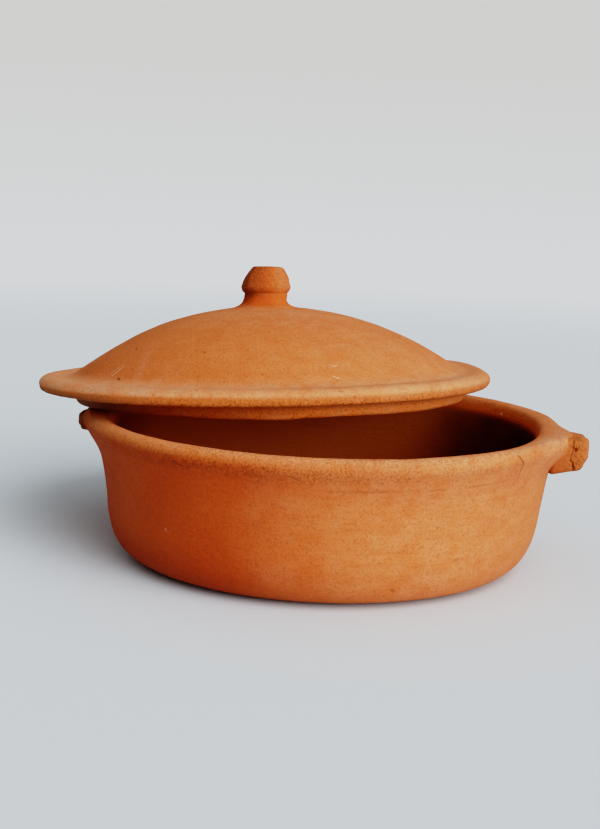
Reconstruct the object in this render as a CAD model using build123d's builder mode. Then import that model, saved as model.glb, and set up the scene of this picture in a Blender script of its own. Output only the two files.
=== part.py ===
"""Covered casserole dish in unglazed earthenware, millimetres, +Z up.

A round, flat-bottomed pot with two stub lugs, and a domed lid with a wide flange, a locating ring
and a knob. The origin is the middle of the pot's flat base, and +X runs along the line of the lugs.
The lid is laid askew: slid off centre towards the back left and tipped the same way, its locating
ring bearing on the pot's rim where the two circles cross.
"""

import os
from math import cos, radians, sin, sqrt

from build123d import *

# ---- Pot ----
pot_height = 82.0
rim_radius = 130.0            # to the crest of the lip
lip_half_width = 4.4
lip_height = 5.2              # from where the lip starts to round over, up to its crest
base_radius = 100.0           # the flat the pot stands on
floor_thickness = 7.5
wall_thickness = 6.6
groove_height = 65.5          # thin line cut round the wall below the rim
groove_depth = 0.5
groove_width = 1.2
groove_cutter_reach = 4.0     # from the bottom of the cut out into the open

# ---- Lugs ----
lug_reach = 150.0             # from the pot's axis to the lug's end
lug_root_width = 46.0
lug_end_width = 26.0
lug_height = 19.5
lug_top_right = 80.5
lug_top_left = 77.5           # the left lug sits a little lower than the right one
lug_root_radius = 124.0       # where it starts, inside the wall that it is trimmed to
lug_root_top_radius = 128.0   # the same along its top, under the lip
lug_root_drop = 5.0           # how much lower its underside is at the root
lug_shoulder_radius = 138.0   # where its underside turns level
lug_nose_drop = 5.85          # from its top down to where it reaches furthest
lug_end_undercut = 2.0        # how far its end leans back below that point
lug_end_slope = 5.0           # and above it
lug_end_radius = 8.0          # of its outer corners seen from above
lug_edge_radius = 3.0         # of its outer corners seen from the front

# ---- Lid, in its own section: distance from its axis and height above the flange's underside ----
flange_radius = 135.2
flange_thickness = 7.5
dome_radius = 194.5           # of the sphere that the dome's outside lies on
dome_height = 46.6            # outside of the crown above the flange's underside
lid_thickness = 6.5
dome_foot_fillet = 6.0
ring_depth = 8.7
ring_top_radius = 122.0
ring_bottom_radius = 118.0
ring_bottom_width = 5.5
ring_edge_radius = 2.0

# ---- Knob ----
knob_foot_radius = 20.0
knob_neck_radius = 12.6
knob_neck_height = 53.5
knob_widest_radius = 14.4
knob_widest_height = 58.5
knob_top_radius = 8.2
knob_top_height = 70.5

# ---- How the lid lies on the pot ----
lid_slide = 59.4              # from the pot's axis to the lid's, level
lid_slide_direction = 140.5   # degrees from +X
lid_tip = 4.35                # degrees, down on the side it slid towards
lid_rest_height = 91.2        # of the flange's underside at the lid's axis

os.makedirs("parts", exist_ok=True)

# ---- Construction shared by the pieces ----
wall_top = pot_height - lip_height
lip_outside = rim_radius + lip_half_width
lip_inside = rim_radius - lip_half_width

# The wall's outside, from the edge of the base to the lip: a round corner, then a slight flare.
wall_outside = [
    (base_radius, 0),
    (rim_radius * 0.860, pot_height * 0.048),
    (rim_radius * 0.915, pot_height * 0.143),
    (rim_radius * 0.948, pot_height * 0.290),
    (rim_radius * 0.966, pot_height * 0.480),
    (rim_radius * 0.986, pot_height * 0.680),
    (rim_radius * 1.013, pot_height * 0.850),
    (lip_outside, wall_top),
]
# The wall's inside, from the lip down to the edge of the floor.
wall_inside = [
    (lip_inside, wall_top),
    (rim_radius * 0.943, pot_height * 0.800),
    (rim_radius * 0.918, pot_height * 0.520),
    (rim_radius * 0.893, pot_height * 0.290),
    (rim_radius * 0.845, pot_height * 0.150),
    (base_radius - wall_thickness, floor_thickness),
]

wall_radius_at_groove = rim_radius * 1.0045   # where the outside passes the groove

slide_angle = radians(lid_slide_direction)
tip_angle = radians(lid_tip)
slide_way = Vector(cos(slide_angle), sin(slide_angle), 0)
lid_origin = slide_way * lid_slide + Vector(0, 0, lid_rest_height)
lid_up = slide_way * sin(tip_angle) + Vector(0, 0, cos(tip_angle))
lid_out = slide_way * cos(tip_angle) - Vector(0, 0, sin(tip_angle))
lid_axis = Axis(lid_origin, lid_up)
lid_section = Plane(origin=lid_origin, x_dir=lid_out, z_dir=lid_out.cross(lid_up))


def dome_outside(distance):
    """Height of the dome's outside at a distance from the lid's axis."""
    return dome_height - dome_radius + sqrt(dome_radius**2 - distance**2)


def dome_inside(distance):
    """Height of the dome's inside at a distance from the lid's axis."""
    inner_radius = dome_radius - lid_thickness
    return dome_height - dome_radius + sqrt(inner_radius**2 - distance**2)


edge_slack = 0.5              # for picking edges out by their radius
dome_centre_drop = dome_radius - dome_height
dome_foot_inside = sqrt((dome_radius - lid_thickness) ** 2 - dome_centre_drop**2)
dome_foot_outside = sqrt(dome_radius**2 - (dome_centre_drop + flange_thickness) ** 2)

# ---- Pot body: base, wall and rolled lip, turned as one piece ----
with BuildPart() as pot_body:
    with BuildSketch(Plane.XZ):
        with BuildLine():
            Line((0, 0), (base_radius, 0))
            Spline(*wall_outside, tangents=[(1, 0), (0.22, 1)])
            ThreePointArc((lip_outside, wall_top), (rim_radius, pot_height), (lip_inside, wall_top))
            Spline(*wall_inside, tangents=[(-0.1, -1), (-1, 0)])
            Line((base_radius - wall_thickness, floor_thickness), (0, floor_thickness))
            Line((0, floor_thickness), (0, 0))
        make_face()
    revolve(axis=Axis.Z)
    # The incised line: a shallow ring of triangular section cut into the wall.
    groove_floor = wall_radius_at_groove - groove_depth
    groove_mouth = groove_floor + groove_cutter_reach
    groove_spread = groove_cutter_reach * groove_width / 2 / groove_depth
    with BuildSketch(Plane.XZ):
        with BuildLine():
            Polyline(
                (groove_floor, groove_height),
                (groove_mouth, groove_height + groove_spread),
                (groove_mouth, groove_height - groove_spread),
                close=True,
            )
        make_face()
    revolve(axis=Axis.Z, mode=Mode.SUBTRACT)
pot_body.part.label = "pot_body"

# What a lug is trimmed to: the pot's outside, filled in.
with BuildPart() as pot_outside:
    with BuildSketch(Plane.XZ):
        with BuildLine():
            Line((0, 0), (base_radius, 0))
            Spline(*wall_outside, tangents=[(1, 0), (0.22, 1)])
            ThreePointArc((lip_outside, wall_top), (rim_radius, pot_height), (lip_inside, wall_top))
            Line((lip_inside, wall_top), (0, wall_top))
            Line((0, wall_top), (0, 0))
        make_face()
    revolve(axis=Axis.Z)


def lug(side, top):
    """A stub of clay pressed on under the rim; side is +1 at +X and -1 at -X."""
    bottom = top - lug_height
    root_bottom = bottom - lug_root_drop

    def outer_corners(face):
        return face.vertices().filter_by(lambda corner: abs(corner.X) > lug_shoulder_radius)

    with BuildPart() as stub:
        # Seen from the front: level on top, blunt at the end, dropping to its root underneath.
        with BuildSketch(Plane.XZ):
            with BuildLine():
                Polyline(
                    (side * lug_root_radius, root_bottom),
                    (side * lug_shoulder_radius, bottom),
                    (side * (lug_reach - lug_end_undercut), bottom),
                    (side * lug_reach, top - lug_nose_drop),
                    (side * (lug_reach - lug_end_slope), top),
                    (side * lug_root_top_radius, top),
                    close=True,
                )
            outline = make_face()
            fillet(outer_corners(outline), lug_edge_radius)
        extrude(amount=lug_root_width / 2, both=True)
        # Seen from above: narrowing outwards, with round corners.
        with BuildSketch(Plane.XY.offset(root_bottom)):
            with BuildLine():
                Polyline(
                    (side * lug_root_radius, lug_root_width / 2),
                    (side * lug_reach, lug_end_width / 2),
                    (side * lug_reach, -lug_end_width / 2),
                    (side * lug_root_radius, -lug_root_width / 2),
                    close=True,
                )
            plan = make_face()
            fillet(outer_corners(plan), lug_end_radius)
        extrude(amount=top - root_bottom, mode=Mode.INTERSECT)
        add(pot_outside.part, mode=Mode.SUBTRACT)
    return stub.part


# ---- Lugs: one at each end of the pot's long axis ----
handle_right = lug(+1, lug_top_right)
handle_right.label = "handle_right"
handle_left = lug(-1, lug_top_left)
handle_left.label = "handle_left"

# ---- Lid shell: dome and flange, turned as one piece and hollow underneath ----
with BuildPart() as lid_shell:
    with BuildSketch(lid_section):
        with BuildLine():
            edge_radius = flange_thickness / 2
            flange_flat = flange_radius - edge_radius
            halfway = dome_foot_outside * 0.5
            halfway_in = dome_foot_inside * 0.5
            ThreePointArc(
                (0, dome_height),
                (halfway, dome_outside(halfway)),
                (dome_foot_outside, flange_thickness),
            )
            Line((dome_foot_outside, flange_thickness), (flange_flat, flange_thickness))
            ThreePointArc((flange_flat, flange_thickness), (flange_radius, edge_radius), (flange_flat, 0))
            Line((flange_flat, 0), (dome_foot_inside, 0))
            ThreePointArc(
                (dome_foot_inside, 0), (halfway_in, dome_inside(halfway_in)), (0, dome_inside(0))
            )
            Line((0, dome_inside(0)), (0, dome_height))
        make_face()
    revolve(axis=lid_axis)
    circles = lid_shell.edges().filter_by(GeomType.CIRCLE)
    fillet(
        circles.filter_by(lambda edge: abs(edge.radius - dome_foot_outside) < edge_slack),
        dome_foot_fillet,
    )
lid_shell.part.label = "lid_shell"

# ---- Locating ring: luted under the flange, leaning in so that it enters the pot's mouth ----
with BuildPart() as lid_collar:
    with BuildSketch(lid_section):
        with BuildLine():
            Polyline(
                (dome_foot_inside, 0),
                (ring_top_radius, 0),
                (ring_bottom_radius, -ring_depth),
                (ring_bottom_radius - ring_bottom_width, -ring_depth),
                close=True,
            )
        make_face()
    revolve(axis=lid_axis)
    circles = lid_collar.edges().filter_by(GeomType.CIRCLE)
    fillet(
        circles.filter_by(lambda edge: (edge.center() - lid_origin).dot(lid_up) < -ring_depth / 2),
        ring_edge_radius,
    )
lid_collar.part.label = "lid_collar"

# ---- Knob: a waisted stub with a flat-topped cap, luted on the crown ----
with BuildPart() as lid_knob:
    with BuildSketch(lid_section):
        with BuildLine():
            foot_middle = knob_foot_radius / 2
            ThreePointArc(
                (0, dome_height),
                (foot_middle, dome_outside(foot_middle)),
                (knob_foot_radius, dome_outside(knob_foot_radius)),
            )
            Spline(
                (knob_foot_radius, dome_outside(knob_foot_radius)),
                (knob_neck_radius, knob_neck_height),
                tangents=[(-1, 0.25), (-0.1, 1)],
            )
            Polyline(
                (knob_neck_radius, knob_neck_height),
                (knob_widest_radius, (knob_neck_height + knob_widest_height) / 2),
                (knob_widest_radius, knob_widest_height),
                (knob_top_radius, knob_top_height),
                (0, knob_top_height),
                (0, dome_height),
            )
        make_face()
    revolve(axis=lid_axis)
lid_knob.part.label = "lid_knob"

# ---- Write one file for each piece ----
export_step(pot_body.part, "parts/pot_body.step")
export_step(handle_right, "parts/handle_right.step")
export_step(handle_left, "parts/handle_left.step")
export_step(lid_shell.part, "parts/lid_shell.step")
export_step(lid_collar.part, "parts/lid_collar.step")
export_step(lid_knob.part, "parts/lid_knob.step")
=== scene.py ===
"""Covered casserole dish in unglazed earthenware: the visual model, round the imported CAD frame.

Metres, +Z up, +X along the line of the pot's lugs. The pieces are turned as a potter turns them,
from a section swept round an axis, and then disturbed by hand-made unevenness, marks and damage.
"""

import math

import bmesh
import bpy
import numpy as np
from mathutils import Matrix, Vector


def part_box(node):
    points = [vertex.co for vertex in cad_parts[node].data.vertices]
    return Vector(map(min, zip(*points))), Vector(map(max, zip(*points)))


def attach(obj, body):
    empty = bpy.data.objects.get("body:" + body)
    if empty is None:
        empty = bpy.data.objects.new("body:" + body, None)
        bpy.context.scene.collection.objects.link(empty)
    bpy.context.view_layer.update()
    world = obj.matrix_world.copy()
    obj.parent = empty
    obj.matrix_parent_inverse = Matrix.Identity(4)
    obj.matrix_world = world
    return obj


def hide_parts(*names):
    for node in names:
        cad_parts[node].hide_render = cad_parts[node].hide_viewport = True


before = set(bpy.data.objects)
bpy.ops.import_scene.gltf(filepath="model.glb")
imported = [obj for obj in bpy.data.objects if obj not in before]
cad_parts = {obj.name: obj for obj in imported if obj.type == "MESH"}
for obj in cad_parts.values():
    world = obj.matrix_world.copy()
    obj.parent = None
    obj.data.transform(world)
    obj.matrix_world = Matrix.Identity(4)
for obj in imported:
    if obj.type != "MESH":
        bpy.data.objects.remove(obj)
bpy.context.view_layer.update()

MM = 0.001

# ---- Sizes, from the CAD nodes' boxes ----
_, pot_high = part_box("pot_body")
lip_outside = pot_high.x
pot_height = pot_high.z
lug_right_low, lug_right_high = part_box("handle_right")
lug_left_low, lug_left_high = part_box("handle_left")

# ---- Sizes repeated from the CAD source, which a box can't give ----
lip_half_width = 4.4 * MM
lip_height = 5.2 * MM
rim_radius = lip_outside - lip_half_width
base_radius = 100 * MM
floor_thickness = 7.5 * MM
wall_thickness = 6.6 * MM
groove_height = 65.5 * MM

flange_radius = 135.2 * MM
flange_thickness = 7.5 * MM
dome_radius = 194.5 * MM
dome_height = 46.6 * MM
lid_thickness = 6.5 * MM
ring_depth = 8.7 * MM
ring_top_radius = 122 * MM
ring_bottom_radius = 118 * MM
ring_bottom_width = 5.5 * MM
knob_foot_radius = 20 * MM
knob_neck_radius = 12.6 * MM
knob_widest_radius = 14.4 * MM
knob_top_height = 70.5 * MM

lid_slide = 59.4 * MM
lid_slide_direction = math.radians(140.5)
lid_tip = math.radians(4.35)
lid_rest_height = 91.2 * MM

# ---- Camera: where the photographer stood, and how the camera was held ----
camera_azimuth = math.radians(-78)
camera_distance = 794 * MM
camera_height = 215.7 * MM
camera_pan = math.radians(1.05)
camera_pitch = math.radians(9.66)
camera_roll = math.radians(2.12)
camera_lens = 60.8

# ---- How many points go round a turned piece ----
turned_segments = 480
knob_segments = 144

# ---- Shape helpers ----


def ease(low, high, x):
    """0 below low, 1 above high, and a smooth step between. low may be the larger of the two."""
    t = np.clip((x - low) / (high - low), 0.0, 1.0)
    return t * t * (3 - 2 * t)


def bump_at(x, centre, width):
    """A bell of height 1 about centre."""
    return np.exp(-(((x - centre) / width) ** 2))


def turn_between(angle, centre):
    """The signed angle from centre to angle, in radians, the short way round."""
    return (angle - centre + math.pi) % (2 * math.pi) - math.pi


def round_profile(angle, table):
    """A smooth value all round, through (degrees, value) pairs, at angles in radians."""
    degrees = np.array([a for a, v in table], float)
    values = np.array([v for a, v in table], float)
    degrees = np.r_[degrees[-1] - 360, degrees, degrees[0] + 360]
    values = np.r_[values[-1], values, values[0]]
    at = (np.degrees(angle) - degrees[1]) % 360 + degrees[1]
    k = np.clip(np.searchsorted(degrees, at) - 1, 0, len(degrees) - 2)
    t = (at - degrees[k]) / (degrees[k + 1] - degrees[k])
    t = t * t * (3 - 2 * t)
    return values[k] * (1 - t) + values[k + 1] * t


def lattice(ix, iy, iz, seed):
    """A repeatable random value from -1 to 1 for each point of a whole-number lattice."""
    n = (ix * 374761393 + iy * 668265263 + iz * 1442695041 + seed * 144665131) & 0xFFFFFFFF
    n = ((n ^ (n >> 13)) * 1274126177) & 0xFFFFFFFF
    n = n ^ (n >> 16)
    return (n & 0xFFFF) / 32767.5 - 1.0


def noise(points, size, seed=0):
    """Smooth noise from -1 to 1, with features about size across, at an (n, 3) array of points."""
    p = np.asarray(points) / size
    whole = np.floor(p).astype(np.int64)
    part = p - whole
    part = part * part * (3 - 2 * part)
    total = np.zeros(len(p))
    for corner in range(8):
        offset = np.array([corner & 1, corner >> 1 & 1, corner >> 2 & 1])
        weight = np.prod(np.where(offset, part, 1 - part), axis=1)
        cell = whole + offset
        total += weight * lattice(cell[:, 0], cell[:, 1], cell[:, 2], seed)
    return total


def layered(points, size, layers, seed=0):
    """Noise with finer, weaker layers added, from about -1 to 1."""
    total = np.zeros(len(points))
    for layer in range(layers):
        total += noise(points, size / 2**layer, seed + 17 * layer) * 0.5**layer
    return total / (2 - 0.5 ** (layers - 1))


def ridged(points, size, layers, seed=0):
    """Noise with sharp creases, 0 in the creases and up to 1 between them."""
    total = np.zeros(len(points))
    for layer in range(layers):
        total += np.abs(noise(points, size / 2**layer, seed + 31 * layer)) * 0.5**layer
    return np.clip(total / (2 - 0.5 ** (layers - 1)) * 1.8, 0, 1)


def through(points, steps=16):
    """A smooth curve through a few points (Catmull-Rom), as an array of points."""
    p = np.array(points, float)
    p = np.vstack([2 * p[0] - p[1], p, 2 * p[-1] - p[-2]])
    out = []
    for a, b, c, d in zip(p, p[1:], p[2:], p[3:]):
        for t in np.arange(steps) / steps:
            squared = (2 * a - 5 * b + 4 * c - d) * t**2
            cubed = (3 * b - a - 3 * c + d) * t**3
            out.append(0.5 * (2 * b + (c - a) * t + squared + cubed))
    out.append(p[-2])
    return np.array(out)


def arc(centre, across, up, start, end, steps=24):
    """An elliptical arc about centre, from start to end in degrees from the outward direction."""
    turn = np.radians(np.linspace(start, end, steps))
    return np.column_stack([centre[0] + across * np.cos(turn), centre[1] + up * np.sin(turn)])


def resample(path, spacing):
    """The path's points moved along it so that they are about spacing(radius, height) apart."""
    path = np.array(path)
    keep = np.r_[True, np.hypot(*np.diff(path, axis=0).T) > 1e-7]
    path = path[keep]
    run = np.r_[0, np.cumsum(np.hypot(*np.diff(path, axis=0).T))]
    fine = np.linspace(0, run[-1], 6000)
    radius = np.interp(fine, run, path[:, 0])
    height = np.interp(fine, run, path[:, 1])
    density = 1 / spacing(radius, height)
    count = np.r_[0, np.cumsum((density[1:] + density[:-1]) / 2 * np.diff(fine))]
    rings = int(count[-1]) + 1
    at = np.interp(np.linspace(0, count[-1], rings), count, fine)
    return np.column_stack([np.interp(at, fine, radius), np.interp(at, fine, height)])


def outward(section):
    """The unit normals of a section that runs anticlockwise round its clay."""
    along = np.gradient(section, axis=0)
    along /= np.maximum(np.linalg.norm(along, axis=1, keepdims=True), 1e-12)
    return np.column_stack([along[:, 1], -along[:, 0]])


def add_mesh(name, points, faces, marks, material, place=None):
    """A smooth-shaded mesh object; marks are named values from 0 to 1 at the vertices.

    Each vertex also keeps its place in the piece's own frame, for the material. The mesh itself is
    then put where place says, so that the object's box is the piece's true box in the row frame."""
    mesh = bpy.data.meshes.new(name)
    mesh.from_pydata(points.tolist(), [], faces)
    mesh.validate()
    own_place = mesh.attributes.new("own_place", "FLOAT_VECTOR", "POINT")
    own_place.data.foreach_set("vector", points.astype(np.float32).ravel())
    if place is not None:
        mesh.transform(place)
    mesh.shade_smooth()
    for mark, values in marks.items():
        layer = mesh.attributes.new(mark, "FLOAT", "POINT")
        layer.data.foreach_set("value", np.clip(values, 0, 1).astype(np.float32))
    mesh.materials.append(material)
    piece = bpy.data.objects.new(name, mesh)
    bpy.context.collection.objects.link(piece)
    return piece


def turned(section, segments, disturb, closed=False):
    """Points, faces and marks of a section swept round Z and then disturbed.

    disturb(angle, radius, height, point, out_r, out_z) is given each point's place and the outward
    direction of its clay, and answers with the distances to move the points outwards from the
    clay, away from the axis and up, and with the marks. An open section starts and ends on the
    axis, and a closed one is a ring."""
    # A closed section's normals need its neighbours across the join.
    normal = outward(np.vstack([section[-1:], section, section[:1]]) if closed else section)
    normal = normal[1:-1] if closed else normal
    inner = section if closed else section[1:-1]
    inner_normal = normal if closed else normal[1:-1]
    rows = len(inner)
    angle = np.tile(np.arange(segments) * 2 * math.pi / segments, rows)
    radius = np.repeat(inner[:, 0], segments)
    height = np.repeat(inner[:, 1], segments)
    out_r = np.repeat(inner_normal[:, 0], segments)
    out_z = np.repeat(inner_normal[:, 1], segments)
    around = np.column_stack([np.cos(angle), np.sin(angle)])
    point = np.column_stack([radius * around[:, 0], radius * around[:, 1], height])
    swell, away, rise, marks = disturb(angle, radius, height, point, out_r, out_z)
    radius = radius + out_r * swell + away
    height = height + out_z * swell + rise
    points = np.column_stack([radius * around[:, 0], radius * around[:, 1], height])
    faces = []
    for row in range(rows if closed else rows - 1):
        here, above = row * segments, (row + 1) % rows * segments
        for k in range(segments):
            after = (k + 1) % segments
            faces.append((here + k, here + after, above + after, above + k))
    if not closed:
        first, last = len(points), len(points) + 1
        top = (rows - 1) * segments
        points = np.vstack([points, [[0, 0, section[0, 1]], [0, 0, section[-1, 1]]]])
        for k in range(segments):
            after = (k + 1) % segments
            faces.append((first, after, k))
            faces.append((last, top + k, top + after))
        marks = {m: np.r_[v, v[:segments].mean(), v[-segments:].mean()] for m, v in marks.items()}
    return points, faces, marks


# ---- Materials ----


class Nodes:
    """A short way to write a material's nodes. Values may be numbers, colours or other sockets."""

    def __init__(self, material):
        material.use_nodes = True
        self.tree = material.node_tree
        self.shader = self.tree.nodes["Principled BSDF"]
        own_place = self.tree.nodes.new("ShaderNodeAttribute")
        own_place.attribute_name = "own_place"
        self.place = own_place.outputs["Vector"]

    def put(self, socket, value):
        if isinstance(value, bpy.types.NodeSocket):
            self.tree.links.new(value, socket)
        else:
            socket.default_value = value

    def math(self, operation, *values):
        node = self.tree.nodes.new("ShaderNodeMath")
        node.operation = operation
        for socket, value in zip(node.inputs, values):
            self.put(socket, value)
        return node.outputs[0]

    def vector(self, operation, *values, answer=0):
        node = self.tree.nodes.new("ShaderNodeVectorMath")
        node.operation = operation
        for socket, value in zip(node.inputs, values):
            self.put(socket, value)
        return node.outputs[answer]

    def ramp(self, value, low, high, start=0.0, end=1.0):
        """start below low, end above high, with a smooth step between."""
        node = self.tree.nodes.new("ShaderNodeMapRange")
        node.interpolation_type = "SMOOTHSTEP"
        for socket, v in zip(node.inputs, (value, low, high, start, end)):
            self.put(socket, v)
        return node.outputs[0]

    def noise(self, size, detail=2.0, place=None, roughness=0.5):
        """Noise from 0 to 1 with features about size metres across."""
        node = self.tree.nodes.new("ShaderNodeTexNoise")
        self.put(node.inputs["Vector"], place or self.place)
        node.inputs["Scale"].default_value = 1 / size
        node.inputs["Detail"].default_value = detail
        node.inputs["Roughness"].default_value = roughness
        return node.outputs[0]

    def specks(self, spacing, reach, share, place=None):
        """Scattered round specks: 1 inside, 0 outside. share of the cells hold one."""
        node = self.tree.nodes.new("ShaderNodeTexVoronoi")
        self.put(node.inputs["Vector"], place or self.place)
        node.inputs["Scale"].default_value = 1 / spacing
        chosen = self.vector("DOT_PRODUCT", node.outputs["Color"], (1.0, 0.0, 0.0), answer=1)
        size = self.ramp(chosen, 1 - share, 1.0, 0.0, reach / spacing)
        near = self.math("SUBTRACT", size, node.outputs["Distance"])
        return self.ramp(near, 0.0, 0.35 * reach / spacing)

    def mark(self, name):
        node = self.tree.nodes.new("ShaderNodeAttribute")
        node.attribute_name = name
        return node.outputs["Fac"]

    def mix(self, factor, a, b, how="MIX"):
        node = self.tree.nodes.new("ShaderNodeMix")
        node.data_type = "RGBA"
        node.blend_type = how
        self.put(node.inputs["Factor"], factor)
        self.put(node.inputs["A"], a)
        self.put(node.inputs["B"], b)
        return node.outputs["Result"]

    def flattened(self, wall_radius=None):
        """Places pressed flat along Z or, for a wall, onto a cylinder, for strokes to lie on."""
        flat = self.vector("MULTIPLY", self.place, (1.0, 1.0, 0.0))
        if wall_radius is None:
            return flat
        around = self.vector("NORMALIZE", flat)
        around = self.vector("MULTIPLY", around, (wall_radius, wall_radius, 0.0))
        return self.vector("ADD", around, self.vector("MULTIPLY", self.place, (0.0, 0.0, 1.0)))

    def stroke(self, place, start, end, width):
        """A thin straight mark from start to end: 1 along it and 0 away from it."""
        run = Vector(end) - Vector(start)
        from_start = self.vector("SUBTRACT", place, tuple(start))
        dot = self.vector("DOT_PRODUCT", from_start, tuple(run / run.length_squared), answer=1)
        share = self.math("MINIMUM", self.math("MAXIMUM", dot, 0.0), 1.0)
        scale = self.tree.nodes.new("ShaderNodeVectorMath")
        scale.operation = "SCALE"
        scale.inputs[0].default_value = run
        self.put(scale.inputs["Scale"], share)
        across = self.vector("SUBTRACT", from_start, scale.outputs[0])
        away = self.vector("LENGTH", across, answer=1)
        return self.ramp(away, width, width * 0.3)

    def bump(self, height, distance, strength=1.0):
        node = self.tree.nodes.new("ShaderNodeBump")
        node.inputs["Strength"].default_value = strength
        node.inputs["Distance"].default_value = distance
        self.put(node.inputs["Height"], height)
        if self.shader.inputs["Normal"].links:
            self.put(node.inputs["Normal"], self.shader.inputs["Normal"].links[0].from_socket)
        self.put(self.shader.inputs["Normal"], node.outputs[0])


# A dark red, for reddened clay and for painted shade on sides away from the light.
flushed_and_shaded_clay = (0.43, 0.048, 0.002, 1)
deep_clay = (0.57, 0.130, 0.017, 1)
mid_clay = (0.63, 0.170, 0.032, 1)
pale_clay = (0.68, 0.23, 0.078, 1)
# A bright clean orange, used as painted light where shade falls.
painted_light_clay = (0.84, 0.215, 0.036, 1)
# A pale dusted colour, also used as painted light on lit sides.
dust_and_painted_light_colour = (0.67, 0.34, 0.185, 1)
fleck_colour = (0.86, 0.74, 0.60, 1)
scored_clay = (0.36, 0.070, 0.008, 1)
pit_colour = (0.16, 0.035, 0.008, 1)
# Near black, used as painted shade, and for the darkening inside the pot.
soot_and_shade_colour = (0.045, 0.019, 0.011, 1)
# Browned clay, also used as painted shade in creases, grooves and under parts.
browned_and_shaded_clay = (0.48, 0.155, 0.042, 1)


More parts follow.
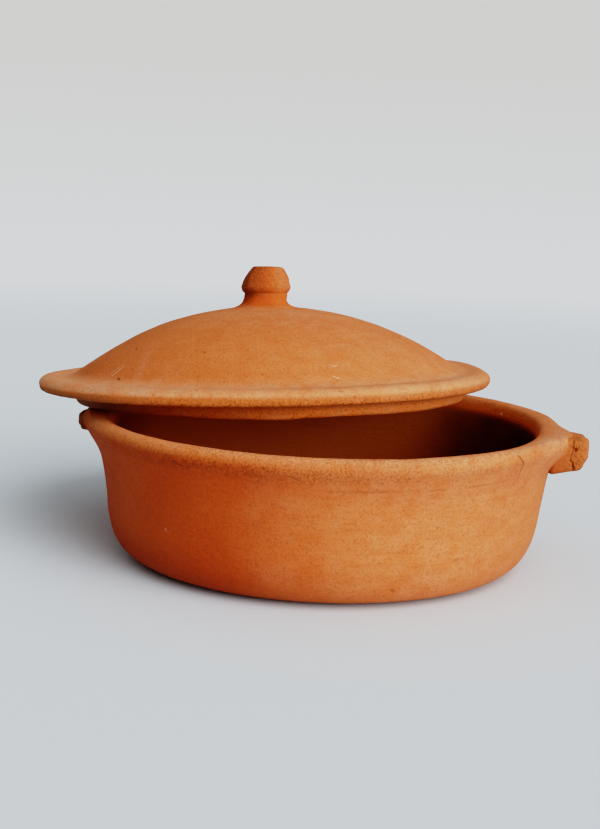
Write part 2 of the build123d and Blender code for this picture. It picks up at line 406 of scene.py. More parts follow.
def clay(name, paleness=0.0, lines=1.0, wall_radius=None, dark_strokes=(), pale_strokes=()):
    """Unglazed earthenware: mottled orange clay with sand, scores, nicks, dusted and worn places,
    and painted light and shade.

    Its marks, which the pieces carry at their vertices, are: a dusted pale that is also painted
    light on lit sides; a reddening that is also painted shade on sides away from the light; painted
    light, a bright clean orange where shade falls; inside, browning that is also painted shade in
    creases and under parts; a blackening that is painted shade and the darkening inside the pot;
    and rough (dragged or torn). Strokes are (start, end, width, strength), drawn on the wall or,
    without a radius, from above."""
    material = bpy.data.materials.new(name)
    n = Nodes(material)
    stretched = n.vector("MULTIPLY", n.place, (1.0, 1.0, 14.0))
    patches = n.noise(55 * MM, 3.0)
    mottle = n.noise(9 * MM, 4.0, roughness=0.6)
    streaks = n.noise(42 * MM, 5.0, place=stretched, roughness=0.65)
    grain = n.noise(0.9 * MM, 3.0, roughness=0.7)
    colour = n.mix(n.ramp(patches, 0.32, 0.70), deep_clay, mid_clay)
    colour = n.mix(n.ramp(mottle, 0.40, 0.85, paleness, 0.5 + paleness), colour, pale_clay)
    colour = n.mix(n.ramp(streaks, 0.44, 0.66, 0.0, 0.42 * lines), colour, deep_clay)
    # Painted light: a bright clean orange where the marks say, lightening shaded places.
    colour = n.mix(n.mark("fresh"), colour, painted_light_clay)
    # Reddened clay, which the marks also use as painted shade on sides away from the light.
    colour = n.mix(n.math("MULTIPLY", n.mark("flush"), 0.92), colour, flushed_and_shaded_clay)
    # Dusted and worn clay, and painted light on lit sides, where the marks put them, broken up by
    # the mottle.
    dust_and_painted_light_share = n.math("MULTIPLY", n.mark("dust"), n.ramp(mottle, 0.25, 0.62, 0.40, 1.0))
    colour = n.mix(dust_and_painted_light_share, colour, dust_and_painted_light_colour)
    colour = n.mix(n.ramp(streaks, 0.50, 0.70, 0.0, 0.08 * lines), colour, scored_clay)
    # Sand: coarse and fine grains, paler and darker. The pale ones are lost where the clay is red.
    away_from_red_and_shade = n.math("SUBTRACT", 1.0, n.math("MULTIPLY", n.mark("flush"), 0.85))
    coarse = n.noise(1.7 * MM, 2.0, roughness=0.6)
    pale_coarse = n.math("MULTIPLY", n.ramp(coarse, 0.56, 0.74, 0.0, 0.30), away_from_red_and_shade)
    colour = n.mix(pale_coarse, colour, pale_clay)
    colour = n.mix(n.ramp(coarse, 0.48, 0.28, 0.0, 0.30), colour, pit_colour)
    pale_fine = n.math("MULTIPLY", n.ramp(grain, 0.56, 0.76, 0.0, 0.18), away_from_red_and_shade)
    colour = n.mix(pale_fine, colour, dust_and_painted_light_colour)
    colour = n.mix(n.ramp(grain, 0.48, 0.28, 0.0, 0.70), colour, scored_clay)
    # The inside is browner, and the same browning is painted shade in creases, grooves and under
    # parts.
    colour = n.mix(n.math("MULTIPLY", n.mark("inside"), 0.85), colour, browned_and_shaded_clay)
    # Blackening where the marks say: painted shade on shaded sides, in creases and under parts, and
    # the darkening inside the pot.
    soot_and_shade_share = n.math("MULTIPLY", n.mark("soot"), n.ramp(patches, 0.25, 0.6, 0.7, 1.0))
    colour = n.mix(soot_and_shade_share, colour, soot_and_shade_colour)
    # Short scores round the wall, small pits, and nicks where the clay was dragged.
    scores = n.specks(7 * MM, 1.5 * MM, 0.45, place=n.vector("MULTIPLY", n.place, (1.0, 1.0, 4.5)))
    colour = n.mix(n.math("MULTIPLY", scores, 0.45 * lines), colour, scored_clay)
    pits = n.math(
        "MAXIMUM", n.specks(6.5 * MM, 0.55 * MM, 0.35), n.specks(23 * MM, 1.1 * MM, 0.25)
    )
    rough = n.mark("rough")
    nicks = n.math("MULTIPLY", n.ramp(n.noise(1.0 * MM, 3.0, roughness=0.75), 0.52, 0.64), rough)
    colour = n.mix(n.math("MULTIPLY", nicks, 0.17), colour, scored_clay)
    colour = n.mix(n.math("MULTIPLY", pits, 0.55), colour, pit_colour)
    flat = n.flattened(wall_radius)
    broken = n.ramp(n.noise(1.3 * MM, 2.0), 0.34, 0.50)
    for start, end, width, strength in pale_strokes:
        mark = n.math("MULTIPLY", n.stroke(flat, start, end, width), broken)
        colour = n.mix(n.math("MULTIPLY", mark, strength), colour, fleck_colour)
    cut = n.math("MAXIMUM", pits, nicks)
    for start, end, width, strength in dark_strokes:
        mark = n.math("MULTIPLY", n.stroke(flat, start, end, width), strength)
        cut = n.math("MAXIMUM", mark, cut)
        colour = n.mix(mark, colour, pit_colour)
    n.put(n.shader.inputs["Base Color"], colour)
    n.put(n.shader.inputs["Roughness"], n.ramp(mottle, 0.3, 0.7, 0.72, 0.88))
    n.shader.inputs["Specular IOR Level"].default_value = 0.42
    n.bump(n.noise(3.6 * MM, 4.0, roughness=0.65), 0.60 * MM, 0.6)
    n.bump(grain, 0.28 * MM, 0.8)
    n.bump(n.noise(26 * MM, 6.0, place=stretched, roughness=0.7), 0.42 * MM, 0.7 * lines + 0.05)
    n.bump(n.math("SUBTRACT", 1.0, cut), 0.6 * MM, 0.9)
    return material


def on_wall(azimuth, height):
    """A place on the pot's wall, from degrees round from +X and a height in millimetres."""
    turn = math.radians(azimuth)
    return Vector((rim_radius * math.cos(turn), rim_radius * math.sin(turn), height * MM))


def on_lid(azimuth, distance):
    """A place on the lid seen from above, in the lid's own frame."""
    turn = math.radians(azimuth)
    return Vector((math.cos(turn), math.sin(turn), 0)) * distance * MM


def dome_outside(distance):
    return dome_height - dome_radius + np.sqrt(dome_radius**2 - distance**2)


def dome_inside(distance):
    return dome_height - dome_radius + np.sqrt((dome_radius - lid_thickness) ** 2 - distance**2)


# ---- Pot ----
wall_top = pot_height - lip_height
lip_inside = rim_radius - lip_half_width
wall_outside = [
    (base_radius + 2.6 * MM, 0.5 * MM),
    (rim_radius * 0.866, pot_height * 0.052),
    (rim_radius * 0.917, pot_height * 0.143),
    (rim_radius * 0.948, pot_height * 0.290),
    (rim_radius * 0.966, pot_height * 0.480),
    (rim_radius * 0.986, pot_height * 0.680),
    (rim_radius * 1.013, pot_height * 0.840),
    (lip_outside - 0.4 * MM, pot_height * 0.905),
    (lip_outside - 0.5 * MM, pot_height * 0.955),
    (rim_radius + 2.7 * MM, pot_height * 0.988),
    (rim_radius, pot_height),
    (rim_radius - 2.9 * MM, pot_height - 0.9 * MM),
    (lip_inside - 0.6 * MM, wall_top + 0.6 * MM),
    (rim_radius * 0.947, pot_height * 0.830),
    (rim_radius * 0.918, pot_height * 0.520),
    (rim_radius * 0.893, pot_height * 0.290),
    (rim_radius * 0.845, pot_height * 0.150),
    (base_radius - wall_thickness, floor_thickness + 0.3 * MM),
]
pot_path = np.vstack([
    [(0, 0.4 * MM), (base_radius * 0.97, 0.3 * MM), (base_radius * 0.99, 0.1 * MM)],
    [(base_radius, 0), (base_radius + 1.5 * MM, 0)],
    through(wall_outside),
    [(base_radius - 2 * wall_thickness, floor_thickness), (0, floor_thickness)],
])


def pot_spacing(radius, height):
    """Rings are close at the lip and the groove, and wide over the floor and underneath."""
    flat = ease(base_radius, base_radius * 0.9, radius)
    spacing = 1.9 * MM + 6 * MM * flat
    spacing = spacing - 1.1 * MM * ease(wall_top - 4 * MM, wall_top, height)
    at_groove = bump_at(height, groove_height, 2.2 * MM) * ease(lip_inside, rim_radius, radius)
    return spacing - 1.6 * MM * at_groove


def inside_top(height):
    """1 near the lip, and 0 from halfway down the wall's inside."""
    return ease(50 * MM, 74 * MM, height)


def pot_disturb(angle, radius, height, point, out_r, out_z):
    inner_face = ease(rim_radius + 0.5 * MM, rim_radius - 3 * MM, radius) * ease(0.3, -0.2, out_r)
    floor_inside = (out_z > 0.6) * (height < floor_thickness * 2) * (radius < rim_radius * 0.9)
    inside = np.maximum(inner_face, floor_inside)
    outer = 1 - inside
    wall = outer * ease(6 * MM, 14 * MM, height)
    around = np.column_stack([np.cos(angle) * 0.13, np.sin(angle) * 0.13, height * 9])
    # Throwing: long soft waves, and fine ridges left by the fingers.
    swell = 0.40 * MM * layered(point, 70 * MM, 2, seed=3)
    swell += 0.12 * MM * layered(around, 60 * MM, 3, seed=5) * ease(4 * MM, 12 * MM, height)
    # The wall is drawn in a little at the left, above the foot.
    left = bump_at(turn_between(angle, math.radians(-172)), 0, math.radians(38))
    swell -= 1.6 * MM * wall * left * bump_at(height, 44 * MM, 22 * MM)
    # The rough band under the lip, dragged by a tool, worst at the front left.
    band = bump_at(height, 73.5 * MM, 5 * MM) * wall
    worst = 0.30 + 0.70 * bump_at(turn_between(angle, math.radians(-100)), 0, math.radians(30))
    dragged = layered(point * [1, 1, 2.2], 5 * MM, 3, seed=11)
    swell -= 0.45 * MM * band * worst * np.clip(dragged + 0.25, 0, 1)
    # The incised line, only at the front, and broken.
    clear = bump_at(turn_between(angle, math.radians(-56)), 0, math.radians(17))
    clear *= ease(-0.6, 0.3, noise(point, 12 * MM, seed=12))
    line = groove_height + 0.5 * MM * np.sin(angle * 2 + 1)
    groove = bump_at(height, line, 0.55 * MM) * wall * clear
    swell -= 0.6 * MM * groove
    # The lip isn't quite level, and has small chips.
    lip = ease(wall_top - 2 * MM, pot_height, height)
    swell -= 0.25 * MM * lip * (1 + layered(point, 16 * MM, 3, seed=8))
    chips = ridged(point, 6 * MM, 2, seed=21)
    chipped = ease(0.14, 0.02, chips) * ease(0.1, 0.5, noise(point, 30 * MM, seed=4))
    swell -= 0.45 * MM * lip * chipped
    # By each lug the rim is squeezed thicker, outwards into the lug's root and inwards, and it
    # bulges a little behind the right lug.
    outer_half = ease(rim_radius - 2 * MM, rim_radius + 3 * MM, radius) * outer
    away = 2.3 * MM * bump_at(turn_between(angle, math.radians(29)), 0, math.radians(15))
    away = away * ease(60 * MM, 74 * MM, height)
    # Each row: the lug's side, how far out, how wide before and after it in degrees, where the
    # spread starts, and how far the lip slumps.
    for centre, reach, near, far, lowest, slump in (
        (0.0, 6.8 * MM, 12.0, 7.0, 57 * MM, 0.0),
        (math.pi, 7.0 * MM, 7.0, 24.0, 56 * MM, 4.2 * MM),
    ):
        turn = turn_between(angle, centre)
        spread = bump_at(turn, 0, np.radians(np.where(turn < 0, near, far)))
        away += spread * (reach * ease(lowest, lowest + 13 * MM, height) - slump * lip)
    away *= outer_half
    lip_inner = ease(rim_radius - 0.5 * MM, lip_inside, radius) * inside_top(height)
    for centre in (math.radians(-4), math.radians(-170)):
        squeezed = bump_at(turn_between(angle, centre), 0, math.radians(28))
        away -= 4.3 * MM * squeezed * lip_inner
    # Bottom: not quite flat, so that it meets the table here and there.
    under = ease(0.2, 0.9, -out_z) * ease(3 * MM, 0.5 * MM, height)
    swell = swell * (1 - under)
    rise = 0.25 * MM * under * (1 + layered(point, 22 * MM, 3, seed=14))
    left_side = ease(-0.35, 0.75, np.cos(turn_between(angle, math.radians(-165))))
    right_side = ease(0.35, 1.0, np.cos(turn_between(angle, math.radians(-32))))
    # Dusted lip and wall, and painted light: the inner lip is lightened, a highlight is painted
    # along the crest at the left, and the whole side towards the light is paled as a painted sheen.
    dust = 0.22 * lip * outer + 0.20 * bump_at(height, pot_height, 2.5 * MM)
    dust += 0.28 * inner_face * ease(pot_height - 9 * MM, pot_height - 3 * MM, height)
    dust += 0.14 * outer * left_side * bump_at(height, pot_height - 0.5 * MM, 3.5 * MM)
    dust += 0.20 * wall * ease(0.1, 0.8, layered(point, 38 * MM, 3, seed=33))
    dust += 0.32 * outer * right_side
    crest = ease(wall_top - 3 * MM, wall_top + 3 * MM, height)
    # Reddened clay and painted shade: the side away from the light is reddened darker, except along
    # the crest, as are a band under the lip and the wall towards the foot; a patch at the front is
    # reddened.
    flush = outer * left_side * (1 - 0.95 * crest)
    flush += 0.36 * wall * bump_at(height, 66 * MM, 7 * MM) * (1 - left_side)
    flush += 0.16 * wall * bump_at(turn_between(angle, math.radians(-92)), 0, math.radians(14))
    flush += 0.25 * outer * ease(34 * MM, 4 * MM, height)
    # Painted shade: the rim at the left is blackened where the lid's collar shades it, and the wall
    # low down on that side is darkened.
    left_painted_shade = bump_at(turn_between(angle, math.radians(-176)), 0, math.radians(16))
    on_top = ease(pot_height - 4.0 * MM, pot_height - 1.6 * MM, height)
    left_painted_shade *= np.maximum(inner_face, on_top) * ease(50 * MM, 62 * MM, height)
    left_painted_shade = 0.50 * left_painted_shade + 0.18 * outer * left_side * ease(30 * MM, 6 * MM, height)
    flush *= 0.85 + 0.15 * layered(point, 30 * MM, 2, seed=36)
    deep = ease(pot_height - 6.5 * MM, pot_height - 11.5 * MM, height)
    # Painted shade: the wall under the right lug is browned.
    under_lug_shade = wall * bump_at(turn_between(angle, math.radians(2)), 0, math.radians(22))
    under_lug_shade = under_lug_shade * ease(74 * MM, 66 * MM, height)
    # Painted light: the inner lip is brightened, and a highlight is painted along the crest at the
    # left.
    fresh = 0.9 * inner_face * bump_at(height, pot_height - 6.5 * MM, 5 * MM)
    fresh += 0.90 * outer * left_side * bump_at(height, pot_height - 0.5 * MM, 3.5 * MM)
    # One side of the inside, towards the back right, is darkened nearly black, down to the floor.
    dark_way = math.radians(32)
    from_soot = np.hypot(
        point[:, 0] - rim_radius * math.cos(dark_way), point[:, 1] - rim_radius * math.sin(dark_way)
    )
    from_soot += 7 * MM * layered(point, 22 * MM, 3, seed=38)
    dark_side = 0.94 * ease(96 * MM, 36 * MM, from_soot)
    marks = {
        "dust": dust,
        "flush": flush,
        "fresh": fresh,
        # The groove is browned and blackened, and the wall under the right lug browned, as painted
        # shade.
        "inside": np.maximum(inside * deep, np.maximum(0.7 * groove, 0.45 * under_lug_shade)),
        "soot": np.maximum(np.maximum(inside * deep * dark_side, 0.45 * groove), left_painted_shade),
        "rough": np.maximum(band * worst, 0.5 * lip * outer),
    }
    return swell, away, rise, marks


pot_clay = clay(
    "pot_clay",
    wall_radius=rim_radius,
    # A crack beside the right lug, in three runs, two stains low down, and two gouges in the band.
    dark_strokes=[
        (on_wall(-29.8, 78.9), on_wall(-27.8, 74.4), 0.40 * MM, 0.8),
        (on_wall(-27.8, 74.4), on_wall(-27.4, 69.8), 0.45 * MM, 0.8),
        (on_wall(-27.4, 69.8), on_wall(-27.9, 65.5), 0.35 * MM, 0.6),
        (on_wall(-60.2, 12.2), on_wall(-59.4, 11.2), 1.3 * MM, 0.4),
        (on_wall(-44.3, 26.1), on_wall(-43.5, 26.4), 1.2 * MM, 0.35),
        (on_wall(-112.6, 73.0), on_wall(-109.6, 71.0), 0.55 * MM, 0.6),
        (on_wall(-84.6, 72.0), on_wall(-83.2, 70.6), 0.55 * MM, 0.5),
    ],
    # Two pale specks, the second of them inside the rim at the back.
    pale_strokes=[
        (on_wall(-117.8, 34.6), on_wall(-117.5, 33.6), 0.5 * MM, 0.35),
        (on_wall(40.8, 75.4), on_wall(41.5, 75.8), 0.9 * MM, 0.8),
    ],
)
pot_shape = turned(resample(pot_path, pot_spacing), turned_segments, pot_disturb)
pot = add_mesh("pot", *pot_shape, pot_clay)
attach(pot, "pot")
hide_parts("pot_body")

# ---- Lugs: lumps of torn clay ----
lug_clay = clay("lug_clay", paleness=0.05, lines=0.0)


def lump(name, low, high, side, seed, painted_shade):
    """A corbel-shaped stub of clay: level on top, rising underneath, its sides torn and creased."""
    work = bmesh.new()
    bmesh.ops.create_icosphere(work, subdivisions=6, radius=1.0)
    ball = np.array([v.co for v in work.verts])
    faces = [tuple(v.index for v in face.verts) for face in work.faces]
    work.free()
    # Push the ball out towards a block, with its edges left round.
    power = 7.0
    block = ball / (np.sum(np.abs(ball) ** power, axis=1, keepdims=True) ** (1 / power))
    outer = (block[:, 0] * side + 1) / 2
    reach = max(abs(low.x), abs(high.x))
    root = rim_radius - 2 * MM
    radius = root + (reach - root) * outer
    height = high.z - low.z
    along = [0.0, 0.45, 0.80, 1.0]
    top = high.z + np.interp(outer, along, np.array([0.3, 0.3, -0.3, -2.4]) * MM)
    bottom = low.z + height * np.interp(outer, along, [0.06, 0.14, 0.22, 0.42])
    half_width = np.interp(outer, along, np.array([17.0, 14.5, 12.8, 11.0]) * MM)
    points = np.column_stack([
        side * radius,
        block[:, 1] * half_width,
        (top + bottom) / 2 + block[:, 2] * (top - bottom) / 2,
    ])
    outwards = ball / np.linalg.norm(ball, axis=1, keepdims=True)
    torn = ease(0.35, 0.75, np.abs(block[:, 1])) * ease(1.02, 0.80, outer)
    torn = np.maximum(torn, 0.6 * ease(-0.3, -0.8, block[:, 2]))
    # Next to the pot it is smoothed over, and low down there it is reddened and blackened as
    # painted shade.
    clear_of_pot = ease(0.40, 0.62, outer + 0.08 * layered(points, 6 * MM, 2, seed + 3))
    torn *= clear_of_pot
    root_below = (1 - clear_of_pot) * ease(0.3, -0.4, block[:, 2])
    dent = 0.8 * MM * layered(points, 9 * MM, 2, seed)
    creases = ridged(points * [1.5, 1.0, 0.8], 7 * MM, 3, seed + 5)
    dent -= 2.3 * MM * torn * ease(0.5, 0.0, creases)
    dent += 0.30 * MM * layered(points, 2.2 * MM, 3, seed + 9) * (0.35 + torn)
    points = points + outwards * (dent - 0.5 * MM)[:, None]
    deep_crease = ease(0.28, 0.0, creases)
    # The lug is browned all over, and its torn creases are darkened further as painted shade; its
    # outer end and top are dusted.
    marks = {
        "dust": 0.25 * ease(0.55, 0.95, outer) * (1 - torn) + 0.15 * ease(0.4, 0.9, block[:, 2]),
        "flush": 0.28 + 0.20 * torn + 0.35 * root_below,
        "inside": 0.55 + 0.20 * clear_of_pot + 0.10 * torn + 0.5 * torn * deep_crease,
        "soot": painted_shade + 0.12 + 0.14 * root_below + 0.25 * torn * ease(0.14, 0.0, creases),
        "rough": 0.10 + 0.6 * torn,
    }
    return add_mesh(name, points, faces, marks, lug_clay)


# The left lug is broken off shorter, and torn away underneath. It is also blackened all over as
# painted shade.
broken_low = lug_left_low + Vector((1.6 * MM, 0, 6.0 * MM))
broken_high = lug_left_high - Vector((0, 0, 2.6 * MM))
for name, low, high, side, seed, painted_shade in (
    ("lug_right", lug_right_low, lug_right_high, +1, 40, 0.0),
    ("lug_left", broken_low, broken_high, -1, 57, 0.35),
):
    piece = lump(name, low, high, side, seed, painted_shade)
    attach(piece, "pot")
    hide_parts("handle_right" if side > 0 else "handle_left")

# ---- Lid: modelled level about its own axis, then laid askew on the rim ----
slide_way = Vector((math.cos(lid_slide_direction), math.sin(lid_slide_direction), 0))
lid_up = slide_way * math.sin(lid_tip) + Vector((0, 0, math.cos(lid_tip)))
lid_out = slide_way * math.cos(lid_tip) - Vector((0, 0, math.sin(lid_tip)))
lid_side = lid_up.cross(lid_out)
lid_origin = slide_way * lid_slide + Vector((0, 0, lid_rest_height))
lid_place = Matrix((lid_out, lid_side, lid_up)).transposed().to_4x4()
lid_place.translation = lid_origin
lid_front = math.radians(144)  # the side of the lid that faces the camera, in the lid's own frame

foot_inside = math.sqrt((dome_radius - lid_thickness) ** 2 - (dome_radius - dome_height) ** 2)
foot_outside = 114 * MM
dome_steps = np.linspace(0, foot_outside, 40)
inner_steps = np.linspace(foot_inside, 0, 40)
lid_path = np.vstack([
    np.column_stack([inner_steps, dome_inside(inner_steps)])[::-1],
    [(foot_inside + 0.5 * MM, 0)],
    arc((flange_radius - 2.0 * MM, 1.8 * MM), 1.8 * MM, 1.8 * MM, -90, 0, 10),
    arc((flange_radius - 6.6 * MM, 3.2 * MM), 6.6 * MM, flange_thickness - 3.2 * MM, 0, 90, 18),
    through([
        (flange_radius - 7.6 * MM, flange_thickness),
        (121.0 * MM, flange_thickness - 0.3 * MM),
        (117.5 * MM, float(dome_outside(117.5 * MM)) + 1.2 * MM),
        (foot_outside, float(dome_outside(foot_outside))),
    ]),
    np.column_stack([dome_steps, dome_outside(dome_steps)])[::-1][1:],
])
# How far the flange is out of true, in millimetres at degrees round the lid, and how much thicker.
flange_warp = [(30, -1.0), (60, 0.0), (120, 0.1), (200, 0.0), (228, 0.2), (255, 1.7), (290, 0.4)]
flange_extra = [(60, 0.1), (110, 0.7), (134, 1.1), (175, 1.1), (205, 1.4), (228, 0.6), (260, 0.3)]


def lid_spacing(radius, height):
    edge = ease(flange_radius - 12 * MM, flange_radius - 6 * MM, radius)
    return 2.3 * MM - 1.75 * MM * edge + 1.6 * MM * ease(40 * MM, 10 * MM, radius)


def lid_disturb(angle, radius, height, point, out_r, out_z):
    underside = ease(0.1, -0.3, out_z)
    top = 1 - underside
    around = np.column_stack([np.cos(angle) * 0.08, np.sin(angle) * 0.08, radius * 7])
    swell = 0.5 * MM * layered(point, 80 * MM, 2, seed=61)
    swell += 0.14 * MM * layered(around, 60 * MM, 3, seed=63)
    edge = ease(flange_radius - 9 * MM, flange_radius - 3 * MM, radius)
    # The flange's lower edge is ragged, where the clay was cut with a needle.
    low_edge = edge * bump_at(height, 0.8 * MM, 1.5 * MM)
    ragged = ridged(point, 4.2 * MM, 3, seed=71)
    patchy = ease(-0.35, 0.5, noise(point, 26 * MM, seed=72))
    swell -= 0.85 * MM * low_edge * ease(0.34, 0.0, ragged) * patchy
    swell += 0.18 * MM * edge * layered(point, 5 * MM, 2, seed=75)
    circle = np.column_stack([np.cos(angle), np.sin(angle), 0 * angle])
    wave = 0.25 * MM * noise(circle, 0.9, seed=77)
    rise = (wave + MM * round_profile(angle, flange_warp)) * ease(90 * MM, 126 * MM, radius)
    rise -= MM * round_profile(angle, flange_extra) * edge * ease(4 * MM, 0, height)
    # The dome is flatter towards the left.
    flatter = bump_at(turn_between(angle, math.radians(38)), 0, math.radians(42))
    rise -= 2.2 * MM * flatter * ease(55 * MM, 106 * MM, radius) * ease(124 * MM, 117 * MM, radius)
    to_right = np.cos(angle - lid_front - math.pi / 2) * radius / flange_radius
    on_flange = ease(110 * MM, 121 * MM, radius) * ease(0.0, 0.5, out_z)
    # Dusted top, and painted light: the flange top is lightened, most on the left where the dome
    # shades it, and the side towards the light is paled.
    dust = 0.12 * top + on_flange * (0.40 + 0.56 * ease(0.4, -0.8, to_right))
    dust += 0.06 * edge * (1 - on_flange) * ease(-0.3, 0.6, to_right)
    dust += 0.22 * top * ease(0.0, 0.8, layered(point, 45 * MM, 3, seed=81))
    dust += 0.22 * top * ease(-0.25, 0.6, to_right)
    dust += 0.28 * top * ease(75 * MM, 25 * MM, radius) * ease(16 * MM, 26 * MM, radius)
    # Its right-hand end droops and is more rounded.
    droops = bump_at(turn_between(angle, lid_front + math.pi / 2), 0, math.radians(42))
    rise -= 0.8 * MM * droops * top * ease(flange_radius - 11 * MM, flange_radius - 1 * MM, radius)
    # Painted shade: the dome's side away from the light is reddened darker.
    flush = 0.10 * top * ease(0.0, -0.6, to_right) * ease(118 * MM, 108 * MM, radius)
    # Painted light brightens the flange top, most on the left; the underside is browned by the ring
    # and blackened, most at the left, as painted shade; the top is browned a little, most at its
    # right-hand end.
    marks = {
        "dust": dust,
        "flush": flush,
        "fresh": on_flange * (0.15 + 0.40 * ease(0.3, -0.7, to_right)),
        "inside": underside * 0.55 * ease(123 * MM, 116 * MM, radius)
        + top * (0.10 + 0.30 * ease(0.80, 1.0, to_right)),
        "soot": underside
        * np.maximum(0.30 * ease(118 * MM, 60 * MM, radius), 0.55 * ease(-0.3, -0.85, to_right)),
        "rough": 0.9 * low_edge + 0.10 * top,
    }
    return swell, -0.12 * MM * edge, rise, marks


lid_clay = clay(
    "lid_clay",
    paleness=0.16,
    lines=0.45,
    # Small dark pits.
    dark_strokes=[
        (on_lid(98.2, 112.8), on_lid(99.4, 113.6), 0.8 * MM, 0.7),
        (on_lid(88.2, 89.0), on_lid(89.6, 89.2), 0.8 * MM, 0.6),
        (on_lid(122.0, 90.2), on_lid(123.2, 90.6), 0.7 * MM, 0.5),
        (on_lid(143.0, 108.0), on_lid(143.6, 108.4), 0.6 * MM, 0.4),
    ],
    # Scratches, and one broad faint scuff.
    pale_strokes=[
        (on_lid(94.6, 111.0), on_lid(95.2, 105.0), 0.6 * MM, 0.5),
        (on_lid(92.4, 109.0), on_lid(93.6, 105.5), 0.5 * MM, 0.35),
        (on_lid(106.5, 114.0), on_lid(98.5, 92.0), 4.0 * MM, 0.05),
        (on_lid(164.6, 102.2), on_lid(165.4, 103.6), 0.9 * MM, 0.20),
        (on_lid(165.4, 103.8), on_lid(166.2, 103.0), 0.6 * MM, 0.18),
        (on_lid(163.4, 111.0), on_lid(164.2, 112.0), 0.55 * MM, 0.5),
        (on_lid(164.2, 112.0), on_lid(164.9, 112.3), 0.45 * MM, 0.35),
    ],
)
lid_shape = turned(resample(lid_path, lid_spacing), turned_segments, lid_disturb)
lid = add_mesh("lid", *lid_shape, lid_clay, lid_place)
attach(lid, "lid")
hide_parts("lid_shell")

# ---- Locating ring ----
ring_inner = ring_bottom_radius - ring_bottom_width
ring_path = np.vstack([
    [(foot_inside - 0.6 * MM, 0.8 * MM), (foot_inside - 0.6 * MM, 0.2 * MM)],
    through([
        (foot_inside - 0.7 * MM, 0),
        (ring_inner + 0.6 * MM, -ring_depth * 0.6),
        (ring_inner + 0.3 * MM, -ring_depth + 1.8 * MM),
    ], 8),
    arc((ring_inner + 2.3 * MM, 1.9 * MM - ring_depth), 2.2 * MM, 1.9 * MM, 180, 270, 8),
    arc((ring_bottom_radius - 2.6 * MM, 2.2 * MM - ring_depth), 2.6 * MM, 2.2 * MM, 270, 360, 10),
    through([
        (ring_bottom_radius + 0.1 * MM, -ring_depth + 2.4 * MM),
        (ring_bottom_radius + 0.6 * MM, -ring_depth * 0.42),
        (ring_bottom_radius + 2.0 * MM, -ring_depth * 0.14),
        (ring_top_radius + 0.6 * MM, 0.9 * MM),
    ], 8),
])
# How much deeper the ring hangs, in millimetres at degrees round the lid. It is nearest the pot's
# lip at 89 and 271 degrees, and no deeper there.
ring_extra = [
    (60, 0.0), (100, 0.0), (121, 0.4), (135, 1.1), (148, 1.5), (157, 0.9), (164, 0.8),
    (180, 1.1), (196, 1.4), (206, 1.3), (216, 1.5), (226, 1.0), (240, 0.0),
]
ring_shift_way = math.radians(234)


def ring_spacing(radius, height):
    return 0.55 * MM + 0 * radius


def ring_disturb(angle, radius, height, point, out_r, out_z):
    low = ease(0, -ring_depth, height)
    uneven = 0.22 * MM * (1 + layered(point, 9 * MM, 3, seed=91)) * low
    rise = uneven - MM * round_profile(angle, ring_extra) * low
    swell = 0.25 * MM * layered(point, 24 * MM, 3, seed=93) - 0.15 * MM
    # It was luted on a little off centre, and pressed in at the left.
    to_left = np.cos(angle - lid_front + math.pi / 2)
    away = 1.6 * MM * np.cos(angle - ring_shift_way)
    away -= 2.8 * MM * bump_at(turn_between(angle, lid_front - math.pi / 2), 0, math.radians(30))
    seam_shade = ease(-0.9 * MM, 0.2 * MM, height)
    # Painted light brightens and pales the ring's lower right, towards the light; painted shade
    # reddens and blackens its left side and darkens the crease under the flange.
    marks = {
        "dust": 0.20 * low * ease(-0.2, 0.8, noise(point, 7 * MM, seed=95))
        + 0.26 * ease(0.2, -0.6, to_left),
        "flush": 0.35 * ease(-0.4, 0.2, to_left),
        "fresh": ease(0.15, 0.65, low) * ease(0.45, -0.35, to_left),
        "inside": np.maximum(0.5 * ease(0.0, -0.8, out_r), 0.7 * seam_shade),
        "soot": np.maximum(0.75 * ease(0.15, 0.85, to_left), 0.6 * seam_shade),
        "rough": 0.10 + 0.35 * low,
    }
    return swell, away, rise, marks


ring_shape = turned(resample(ring_path, ring_spacing), turned_segments, ring_disturb, closed=True)
ring = add_mesh("lid_ring", *ring_shape, lid_clay, lid_place)
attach(ring, "lid")
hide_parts("lid_collar")

# ---- Knob: pinched up from a coil, its cap pared into rough facets ----
crown = float(dome_outside(0))
knob_path = np.vstack([
    [(0, crown - 2 * MM), (knob_foot_radius * 0.9, crown - 2.6 * MM)],
    through([
        (knob_foot_radius + 2 * MM, float(dome_outside(knob_foot_radius + 2 * MM)) - 0.25 * MM),
        (knob_foot_radius - 3.0 * MM, float(dome_outside(knob_foot_radius)) + 0.9 * MM),
        (knob_neck_radius + 1.2 * MM, 48.6 * MM),
        (knob_neck_radius - 0.2 * MM, 51.4 * MM),
        (knob_neck_radius - 0.4 * MM, 54.4 * MM),
    ]),
    through([
        (knob_widest_radius - 0.9 * MM, 55.4 * MM),
        (knob_widest_radius, 57.0 * MM),
        (knob_widest_radius - 0.1 * MM, 59.3 * MM),
        (11.9 * MM, 65.4 * MM),
        (9.2 * MM, 69.7 * MM),
        (7.6 * MM, knob_top_height),
        (4.0 * MM, knob_top_height),
    ]),
    [(0, knob_top_height)],
])
knob_right = lid_front + math.pi / 2


def knob_spacing(radius, height):
    return 0.5 * MM + 0 * radius


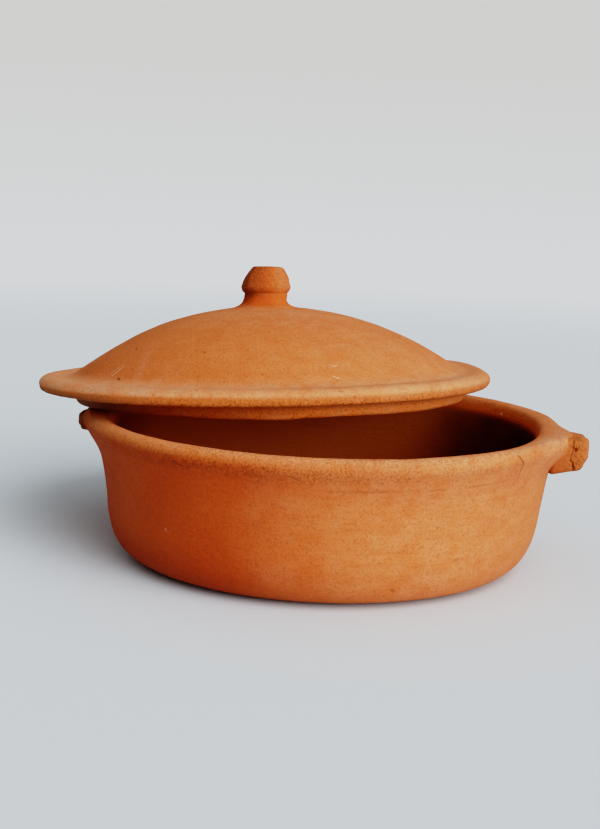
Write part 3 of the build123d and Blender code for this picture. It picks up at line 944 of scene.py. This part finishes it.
def knob_disturb(angle, radius, height, point, out_r, out_z):
    # The cap is pared into uneven facets.
    cap = ease(54 * MM, 57 * MM, height)
    sides = 7
    wedge = 2 * math.pi / sides
    across = (angle + 0.35 + 0.25 * np.sin(angle) + math.pi / sides) % wedge - math.pi / sides
    facet = math.cos(math.pi / sides) / np.cos(across) - 1
    away = radius * facet * 0.55 * cap + radius * 0.02 * cap
    # It is fuller on its right, and its neck thicker there.
    fuller = ease(0.1, 0.9, np.cos(angle - knob_right))
    thicker = bump_at(height, 64 * MM, 4.5 * MM) + bump_at(height, 52.5 * MM, 3 * MM)
    away += 1.1 * MM * fuller * thicker
    swell = 0.55 * MM * layered(point, 9 * MM, 2, seed=101)
    swell += 0.25 * MM * layered(point, 3 * MM, 3, seed=103) * ease(49 * MM, 53 * MM, height)
    swell *= ease(45 * MM, 49 * MM, height)
    on_foot = ease(0.2, 0.8, out_z) * ease(48 * MM, 45.5 * MM, height)
    # Painted shade: the side away from the light is reddened and blackened, with the crease under
    # the cap all round; painted light pales the cap's right side.
    shaded_side = ease(0.3, -0.8, np.cos(angle - knob_right))
    marks = {
        "dust": 0.25 * on_foot + 0.30 * cap * fuller,
        "flush": (0.72 - 0.35 * fuller) * ease(44 * MM, 49 * MM, height),
        "inside": 0.5 * bump_at(height, 54.6 * MM, 1.6 * MM) + 0.35 * cap,
        "soot": shaded_side * (0.5 * bump_at(height, 54 * MM, 2.6 * MM) + 0.26 * cap)
        + 0.10 * cap * ease(0.0, 0.7, noise(point, 6 * MM, seed=107)),
        "rough": 0.35 * cap,
    }
    return swell, away, 0 * radius, marks


knob_section = resample(knob_path, knob_spacing)
knob_points, knob_faces, knob_marks = turned(knob_section, knob_segments, knob_disturb)
# It leans to its right, and its top slopes down that way.
knob_height = knob_points[:, 2].copy()
lean = 1.0 * MM * ease(50 * MM, 58 * MM, knob_height)
lean += 1.2 * MM * ease(60 * MM, 71 * MM, knob_height)
to_the_right = knob_points[:, 0] * math.cos(knob_right) + knob_points[:, 1] * math.sin(knob_right)
knob_points[:, 2] -= 0.08 * np.maximum(to_the_right, 0) * ease(60 * MM, 70 * MM, knob_height)
knob_points[:, 0] += math.cos(knob_right) * lean
knob_points[:, 1] += math.sin(knob_right) * lean
knob = add_mesh("lid_knob_clay", knob_points, knob_faces, knob_marks, lid_clay, lid_place)
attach(knob, "lid")
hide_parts("lid_knob")

# ---- Studio: a pale floor that fades into an even backdrop, the same from every side ----
floor_radius = 2.2
floor_solid_radius = 1.0
floor_material = bpy.data.materials.new("floor")
n = Nodes(floor_material)
n.shader.inputs["Base Color"].default_value = (0.71, 0.81, 0.89, 1)
n.shader.inputs["Roughness"].default_value = 0.9
n.shader.inputs["Specular IOR Level"].default_value = 0.15
from_middle = n.vector("LENGTH", n.place, answer=1)
n.put(n.shader.inputs["Alpha"], n.ramp(from_middle, floor_solid_radius, floor_radius, 1.0, 0.0))
floor_turns = 96
floor_angles = [k * 2 * math.pi / floor_turns for k in range(floor_turns)]
floor_edge = np.array([
    (floor_radius * math.cos(turn), floor_radius * math.sin(turn), 0) for turn in floor_angles
])
add_mesh("studio_floor", floor_edge, [tuple(range(floor_turns))], {}, floor_material)

# ---- Light: soft daylight from the right, some of it coming in low, and a dim warm room ----


def daylight(name, energy, spread, to_right, height):
    """A soft sun; spread, height and the turn to the camera's right are in degrees."""
    data = bpy.data.lights.new(name, "SUN")
    data.energy = energy
    data.angle = math.radians(spread)
    data.color = (1.0, 0.985, 0.96)
    lamp = bpy.data.objects.new(name, data)
    azimuth, height = camera_azimuth + math.radians(to_right), math.radians(height)
    level = math.cos(height)
    towards = Vector((math.cos(azimuth) * level, math.sin(azimuth) * level, math.sin(height)))
    lamp.location = towards * 2
    lamp.rotation_euler = towards.to_track_quat("Z", "Y").to_euler()
    bpy.context.collection.objects.link(lamp)


daylight("window", 1.86, 56, 40, 38)
daylight("window_low", 2.20, 40, 38, 12)

room = bpy.data.worlds.new("room")
room.use_nodes = True
sky = room.node_tree.nodes
wires = room.node_tree.links
direction = sky.new("ShaderNodeTexCoord")
split = sky.new("ShaderNodeSeparateXYZ")
wires.new(direction.outputs["Generated"], split.inputs[0])


def sky_colour(low, high, below, above):
    """below under the direction whose Z is low, above over high, and a smooth mix between."""
    share = sky.new("ShaderNodeMapRange")
    share.interpolation_type = "SMOOTHSTEP"
    share.inputs["From Min"].default_value = low
    share.inputs["From Max"].default_value = high
    wires.new(split.outputs["Z"], share.inputs["Value"])
    mixed = sky.new("ShaderNodeMix")
    mixed.data_type = "RGBA"
    mixed.inputs["A"].default_value = below
    mixed.inputs["B"].default_value = above
    wires.new(share.outputs[0], mixed.inputs["Factor"])
    return mixed.outputs["Result"]


# The room is dim and warm low down and lighter overhead; the camera sees a paler backdrop instead.
room_light = sky["Background"]
room_colour = sky_colour(0.0, 0.95, (0.076, 0.044, 0.026, 1), (0.62, 0.61, 0.59, 1))
wires.new(room_colour, room_light.inputs["Color"])
backdrop = sky.new("ShaderNodeBackground")
backdrop_colour = sky_colour(-0.10, 0.10, (0.90, 0.95, 1.00, 1), (0.80, 0.81, 0.78, 1))
wires.new(backdrop_colour, backdrop.inputs["Color"])
seen = sky.new("ShaderNodeLightPath")
choose = sky.new("ShaderNodeMixShader")
wires.new(seen.outputs["Is Camera Ray"], choose.inputs[0])
wires.new(room_light.outputs[0], choose.inputs[1])
wires.new(backdrop.outputs[0], choose.inputs[2])
wires.new(choose.outputs[0], sky["World Output"].inputs["Surface"])
bpy.context.scene.world = room

# ---- Camera ----
camera_data = bpy.data.cameras.new("camera")
camera_data.lens = camera_lens
camera_data.sensor_width = 36
camera = bpy.data.objects.new("camera", camera_data)
stand = Vector((
    camera_distance * math.cos(camera_azimuth),
    camera_distance * math.sin(camera_azimuth),
    camera_height,
))
heading = camera_azimuth + math.pi / 2 + camera_pan
camera.matrix_world = (
    Matrix.Translation(stand)
    @ Matrix.Rotation(heading, 4, "Z")
    @ Matrix.Rotation(math.pi / 2 - camera_pitch, 4, "X")
    @ Matrix.Rotation(camera_roll, 4, "Z")
)
bpy.context.collection.objects.link(camera)
bpy.context.scene.camera = camera

# ---- Tones: deep shadows, and highlights held back, as a print of daylight has them ----
view = bpy.context.scene.view_settings
view.view_transform = "Standard"
view.look = "None"
view.use_curve_mapping = True
tones = view.curve_mapping.curves[3]
for scene_value, shown_value in (
    (0.02, 0.003), (0.04, 0.012), (0.08, 0.045), (0.15, 0.120), (0.25, 0.225), (0.40, 0.380),
    (0.60, 0.540), (0.80, 0.630),
):
    tones.points.new(scene_value, shown_value)
tones.points[-1].location = (1.0, 0.69)
view.curve_mapping.update()
